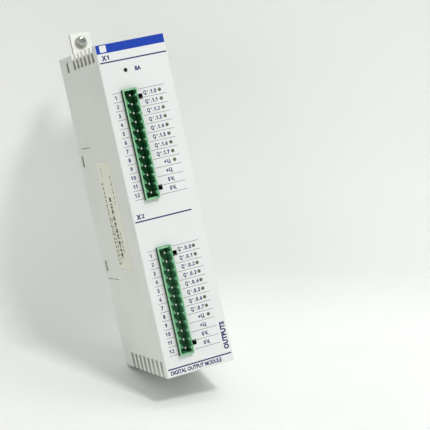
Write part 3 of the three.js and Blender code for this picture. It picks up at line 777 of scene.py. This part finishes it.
def print_side_label():
    """Blocks and bars that stand for small print; sines vary their lengths and gaps."""
    bm = bmesh.new()
    height = LABEL_HIGH.z - LABEL_LOW.z
    for share, start, end, width, longest, gap in LABEL_COLUMNS:
        y = LABEL_HIGH.y - share * (LABEL_HIGH.y - LABEL_LOW.y)
        half = width * MM / 2
        at = start * height
        step = 0
        while at < end * height:
            wanted = longest * (0.6 + 0.4 * math.sin(2.3 * step + share * 17)) * MM
            length = max(0.3 * MM, min(wanted, end * height - at))
            loop = rounded(0, -half, length, half, 0.12 * MM, 2)
            add_curve(bm, outline(loop), on_label(y, LABEL_HIGH.z - at - length))
            at += length + gap * (1.3 + 0.6 * math.sin(3.7 * step + share * 5)) * MM
            step += 1
    printed("print_side_label", bm, LABEL_INK)


# ---------------------------------------------------------------- turned and domed pieces


def round_about_y(radius, y, angle):
    return radius * math.cos(angle), y, radius * math.sin(angle)


def join_loops(bm, near, far):
    """Faces between two closed loops of the same number of vertices."""
    for index in range(len(near)):
        after = (index + 1) % len(near)
        bm.faces.new((near[index], near[after], far[after], far[index]))


def turned_mesh(rings, sides):
    """A closed body about the Y axis from rings of (y, radius by angle); its ends are fans."""
    bm = bmesh.new()
    angles = [2 * math.pi * side / sides for side in range(sides)]
    loops = []
    for y, radius in rings:
        radii = [radius(angle) if callable(radius) else radius for angle in angles]
        loops.append([bm.verts.new(round_about_y(r, y, angle)) for r, angle in zip(radii, angles)])
    for near, far in zip(loops, loops[1:]):
        join_loops(bm, near, far)
    for loop, y in ((loops[0], rings[0][0]), (loops[-1], rings[-1][0])):
        tip = bm.verts.new((0, y, 0))
        for side in range(sides):
            bm.faces.new((loop[side], loop[(side + 1) % sides], tip))
    return bm


def dome_rings(crown_y, rise, radius, steps):
    """Rings of a dome that opens backwards from its crown to its full radius."""
    angles = [step / steps * math.pi / 2 for step in range(1, steps + 1)]
    return [(crown_y + rise * (1 - math.cos(a)), radius * math.sin(a)) for a in angles]


def build_screw():
    """Captive screw: domed head with a cross recess, thin neck and a real thread on its tip."""
    low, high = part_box("captive_screw")
    centre = middle((low, high))
    washer_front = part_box("screw_washer")[0].y
    bracket_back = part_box("mounting_bracket")[1].y

    head, head_height, crown_rise, blunt = (high.x - low.x) / 2, 2.3 * MM, 1.1 * MM, 0.15 * MM
    crown_y = washer_front - head_height
    neck, free_neck = 1.1 * MM, 3.2 * MM
    thread_start, thread_end = bracket_back + free_neck, high.y
    rings = dome_rings(crown_y, crown_rise, head, 12)
    rings += [(washer_front - blunt, head), (washer_front, head - blunt)]
    rings += [(washer_front, neck), (thread_start, neck)]

    crest, root, pitch, rings_per_turn = 1.5 * MM, 1.17 * MM, 0.5 * MM, 10
    run_in, run_out, tip_taper = 0.8 * MM, 0.6 * MM, 0.07 * MM
    rows = int((thread_end - thread_start) / (pitch / rings_per_turn))
    for row in range(1, rows + 1):
        y = thread_start + (thread_end - thread_start) * row / rows
        depth = min(1.0, (y - thread_start) / run_in, (thread_end - y) / run_out)

        def flank(angle, y=y, depth=depth):
            phase = (y / pitch - angle / (2 * math.pi)) % 1.0
            crest_share = min(1.0, max(0.0, 1.25 - 2.5 * abs(phase - 0.5)))
            return root + (crest - root) * crest_share * depth - (1 - depth) * tip_taper

        rings.append((y, flank))

    bm = turned_mesh(rings, 48)
    bmesh.ops.translate(bm, verts=bm.verts, vec=(centre.x, 0, centre.z))
    piece = mesh_piece("captive_screw_turned", bm, MATERIALS["screw_steel"], "screw")
    cut_recess(piece, Vector((centre.x, crown_y, centre.z)))
    for polygon in piece.data.polygons:
        polygon.use_smooth = True
    piece.data.set_sharp_from_angle(angle=math.radians(35))
    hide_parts("captive_screw")


def cut_recess(piece, crown):
    """Sinks a tapering cross into a screw head."""
    mouth_y, mouth_length, mouth_width = -0.5 * MM, 4.2 * MM, 1.15 * MM
    floor_y, floor_length, floor_width = 1.35 * MM, 1.9 * MM, 0.6 * MM
    cross = bmesh.new()
    for turn in (0, math.pi / 2):
        arm = bmesh.ops.create_cube(cross, size=1.0)["verts"]
        for vert in arm:
            deep = vert.co.y > 0
            vert.co.x *= floor_length if deep else mouth_length
            vert.co.z *= floor_width if deep else mouth_width
            vert.co.y = floor_y if deep else mouth_y
        bmesh.ops.rotate(cross, verts=arm, matrix=Matrix.Rotation(turn, 3, "Y"))
    bmesh.ops.translate(cross, verts=cross.verts, vec=crown)
    bmesh.ops.recalc_face_normals(cross, faces=cross.faces)
    cutter = placed("cross", mesh_data("cross", cross))
    cut = piece.modifiers.new("recess", "BOOLEAN")
    cut.operation = "DIFFERENCE"
    cut.solver = "EXACT"
    cut.use_self = True
    cut.object = cutter
    piece.data = evaluated(piece)
    piece.modifiers.clear()
    bpy.data.objects.remove(cutter)


def build_washer():
    """Plain washer with broken edges."""
    low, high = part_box("screw_washer")
    centre = middle((low, high))
    outer, inner, edge = (high.x - low.x) / 2, 1.65 * MM, 0.14 * MM
    profile = [
        (low.y, inner + edge / 2),
        (low.y, outer - edge),
        (low.y + edge, outer),
        (high.y - edge, outer),
        (high.y, outer - edge),
        (high.y, inner),
        (low.y + edge / 2, inner),
    ]
    sides = 64
    bm = bmesh.new()
    loops = []
    for side in range(sides):
        angle = 2 * math.pi * side / sides
        loops.append([bm.verts.new(round_about_y(radius, y, angle)) for y, radius in profile])
    for near, far in zip(loops, loops[1:] + loops[:1]):
        join_loops(bm, near, far)
    bmesh.ops.translate(bm, verts=bm.verts, vec=(centre.x, 0, centre.z))
    piece = mesh_piece("screw_washer_turned", bm, MATERIALS["screw_steel"], "washer")
    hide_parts("screw_washer")


def build_lenses(header):
    """Low domes of the lamps, standing a little proud of the foil."""
    guide_front = GUIDES[header][0]
    radius, rise, sunk = 1.0 * MM, 0.3 * MM, 0.05 * MM
    rings = dome_rings(guide_front.y - rise, rise, radius, 6)
    rings.append((guide_front.y + sunk, radius * 0.98))
    dome = mesh_data("dome", turned_mesh(rings, 24))
    x = guide_front.x + 1.4 * MM
    bm = bmesh.new()
    for row in range(LIT_ROWS):
        lens = dome.copy()
        lens.transform(Matrix.Translation((x, 0, row_z(header, row))))
        bm.from_mesh(lens)
        bpy.data.meshes.remove(lens)
    mesh_piece(f"lamp_lenses_{header}", bm, MATERIALS["lamp_plastic"], "case", True)


def build_contacts():
    """Folded springs in the cavities of the backplane connector."""
    low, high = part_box("backplane_connector")
    centre = middle((low, high))
    pitch, columns, half_width = 2.54 * MM, 20, 0.3 * MM
    # Each spring's side view in millimetres: depth from the connector's face, reach from its row.
    path = [(-4.6, -0.44), (-3.0, -0.44), (-1.6, -0.12), (-1.0, -0.16), (-0.45, -0.42)]
    thickness = 0.14
    bm = bmesh.new()
    for row in (-0.5, 0.5):
        side = 1 if row < 0 else -1
        x = centre.x + row * pitch
        for column in range(columns):
            z = centre.z + pitch * (column - (columns - 1) / 2)
            loops = []
            for depth, reach in path:
                y = high.y + depth * MM
                near_x, far_x = (x + side * r * MM for r in (reach, reach + thickness))
                corners = [(near_x, -1), (far_x, -1), (far_x, 1), (near_x, 1)]
                loops.append([bm.verts.new((a, y, z + b * half_width)) for a, b in corners])
            for near, far in zip(loops, loops[1:]):
                join_loops(bm, near, far)
            bm.faces.new(loops[0])
            bm.faces.new(loops[-1])
    mesh_piece("backplane_contacts", bm, MATERIALS["pin_metal"], "case")


# ---------------------------------------------------------------- finish of the CAD nodes

# Width of a node's edge rounding and its segments.
SOFT_EDGES = {
    "housing_shell": (0.35 * MM, 3),
    "rear_cover": (0.25 * MM, 2),
    "mounting_bracket": (0.3 * MM, 3),
    "header_x1": (0.12 * MM, 2),
    "header_x2": (0.12 * MM, 2),
    "backplane_connector": (0.1 * MM, 2),
    "bus_controller": (0.1 * MM, 2),
    "board_link": (0.15 * MM, 2),
}


def soften(node, width, segments):
    """Merges a node's split vertices and rounds its edges."""
    weld = node.modifiers.new("weld", "WELD")
    weld.merge_threshold = 0.002 * MM
    flat = node.modifiers.new("flat", "DECIMATE")
    flat.decimate_type = "DISSOLVE"
    flat.angle_limit = math.radians(1)
    bevel = node.modifiers.new("bevel", "BEVEL")
    bevel.limit_method = "ANGLE"
    bevel.angle_limit = math.radians(35)
    bevel.width = width
    bevel.segments = segments
    bevel.use_clamp_overlap = True


def finish_nodes():
    """Gives every CAD node its material, and rounds the edges that show."""
    for entry in frame["record"]["subparts"]:
        node = nodes[entry["node"]]
        node.data.materials.clear()
        node.data.materials.append(MATERIALS[entry["material_slot"]])
        if entry["node"] in SOFT_EDGES:
            soften(node, *SOFT_EDGES[entry["node"]])


# ---------------------------------------------------------------- floor, backdrop, light and camera


def pale_paper():
    """Matt white sheet. It is clear from behind, so that the module's rear can be looked at."""
    lower, lower_clouds, upper = (0.87, 0.875, 0.865), (0.90, 0.905, 0.895), (0.76, 0.765, 0.75)
    s = Surface("pale_paper", roughness=0.85, specular=0.2)
    tone = s.mix(s.ramp(s.noise(180 * MM, 2), 0.3, 0.7), lower, lower_clouds)
    # Painted shade: the sheet darkens higher up.
    s.colour(s.mix(s.ramp(s.axis("Z"), 90 * MM, 270 * MM), tone, upper))
    s.bump(s.noise(1.5 * MM, 2), 0.05, 0.05 * MM)
    behind = s.node("ShaderNodeNewGeometry").outputs["Backfacing"]
    clear = s.node("ShaderNodeBsdfTransparent")
    either = s.node("ShaderNodeMixShader")
    s.link(behind, either.inputs["Fac"])
    s.link(s.shader.outputs["BSDF"], either.inputs[1])
    s.link(clear.outputs["BSDF"], either.inputs[2])
    s.link(either.outputs["Shader"], s.tree.nodes["Material Output"].inputs["Surface"])
    return s.material


def sheet_profile():
    """Side view of the sheet: distances away from the camera past its bend's end, and heights."""
    front, radius, lean, rise, steps = -3.0, 0.04, math.radians(88), 2.5, 16
    profile = [(front, 0.0)]
    for step in range(steps + 1):
        angle = step / steps * lean
        profile.append((radius * (math.sin(angle) - 1), radius * (1 - math.cos(angle))))
    bend_end, bend_top = profile[-1]
    profile.append((bend_end + rise * math.cos(lean), bend_top + rise * math.sin(lean)))
    return profile


def build_floor():
    """A pale sheet that lies flat under the module and curves up behind it.

    The module leans on it, back and to the left, so the sheet is level for the camera."""
    half_width, gap = 4.0, 0.030
    upward = SKYWARD * math.cos(LOOK_DOWN) - AHEAD * math.sin(LOOK_DOWN)
    away = AHEAD * math.cos(LOOK_DOWN) + SKYWARD * math.sin(LOOK_DOWN)
    across = away.cross(upward)
    points = [node.matrix_world @ v.co for node in nodes.values() for v in node.data.vertices]
    lowest = min(point.dot(upward) for point in points)
    rearmost = max(point.dot(away) for point in points)
    bm = bmesh.new()
    ends = (-half_width, half_width)
    rows = [[bm.verts.new((x, y, z)) for x in ends] for y, z in sheet_profile()]
    for near, far in zip(rows, rows[1:]):
        bm.faces.new((near[0], near[1], far[1], far[0]))
    floor = placed("floor", mesh_data("floor", bm, smooth=True))
    floor.data.materials.append(pale_paper())
    turn = Matrix((across, away, upward)).transposed().to_4x4()
    floor.matrix_world = Matrix.Translation(away * (rearmost + gap) + upward * lowest) @ turn


def add_light(name, place, size, power):
    """A square soft box that looks at the module's middle."""
    lamp = bpy.data.lights.new(name, "AREA")
    lamp.size = size
    lamp.energy = power
    holder = placed(name, lamp)
    holder.location = place
    holder.rotation_mode = "QUATERNION"
    holder.rotation_quaternion = (-Vector(place)).to_track_quat("-Z", "Y")


def light_scene():
    """Even studio light with a key from the front; the camera sees a brighter room than it lights."""
    lighting_strength, seen_strength = 0.49, 0.78
    world = bpy.data.worlds.new("studio")
    world.use_nodes = True
    tree = world.node_tree
    background = tree.nodes["Background"]
    background.inputs["Color"].default_value = (0.97, 1.0, 0.98, 1)
    seen = tree.nodes.new("ShaderNodeLightPath").outputs["Is Camera Ray"]
    strength = tree.nodes.new("ShaderNodeMapRange")
    strength.inputs["To Min"].default_value = lighting_strength
    strength.inputs["To Max"].default_value = seen_strength
    tree.links.new(seen, strength.inputs["Value"])
    tree.links.new(strength.outputs["Result"], background.inputs["Strength"])
    scene = bpy.context.scene
    scene.world = world
    add_light("key", (0.35, -1.2, 0.9), 0.24, 9.3)
    add_light("fill", (-1.25, -0.7, 0.02), 1.0, 3.4)
    add_light("overhead", (0.6, -0.55, 1.15), 0.5, 3.2)
    scene.view_settings.view_transform = "Standard"
    scene.view_settings.look = "None"


def add_camera():
    """A long lens aimed at a point of the front's plane, a little to the right of the module."""
    aim = Vector((28.22 * MM, FACE_Y, -11.88 * MM))
    distance = 753.73 * MM
    camera = placed("camera", bpy.data.cameras.new("camera"))
    camera.data.sensor_width = 36
    camera.data.lens = 109.41
    camera.data.clip_start = 0.01
    camera.data.clip_end = 20
    turn = Matrix((AHEAD.cross(SKYWARD), SKYWARD, -AHEAD)).transposed().to_4x4()
    camera.matrix_world = Matrix.Translation(aim - AHEAD * distance) @ turn
    bpy.context.scene.camera = camera


# ---------------------------------------------------------------- the whole scene

finish_nodes()
print_bar()
print_heavy_lines()
print_row_lines()
print_rows("x1", 1)
print_rows("x2", 0)
print_titles()
print_side_label()
build_screw()
build_washer()
for header_name in HEADERS:
    build_lenses(header_name)
build_contacts()
build_floor()
light_scene()
add_camera()
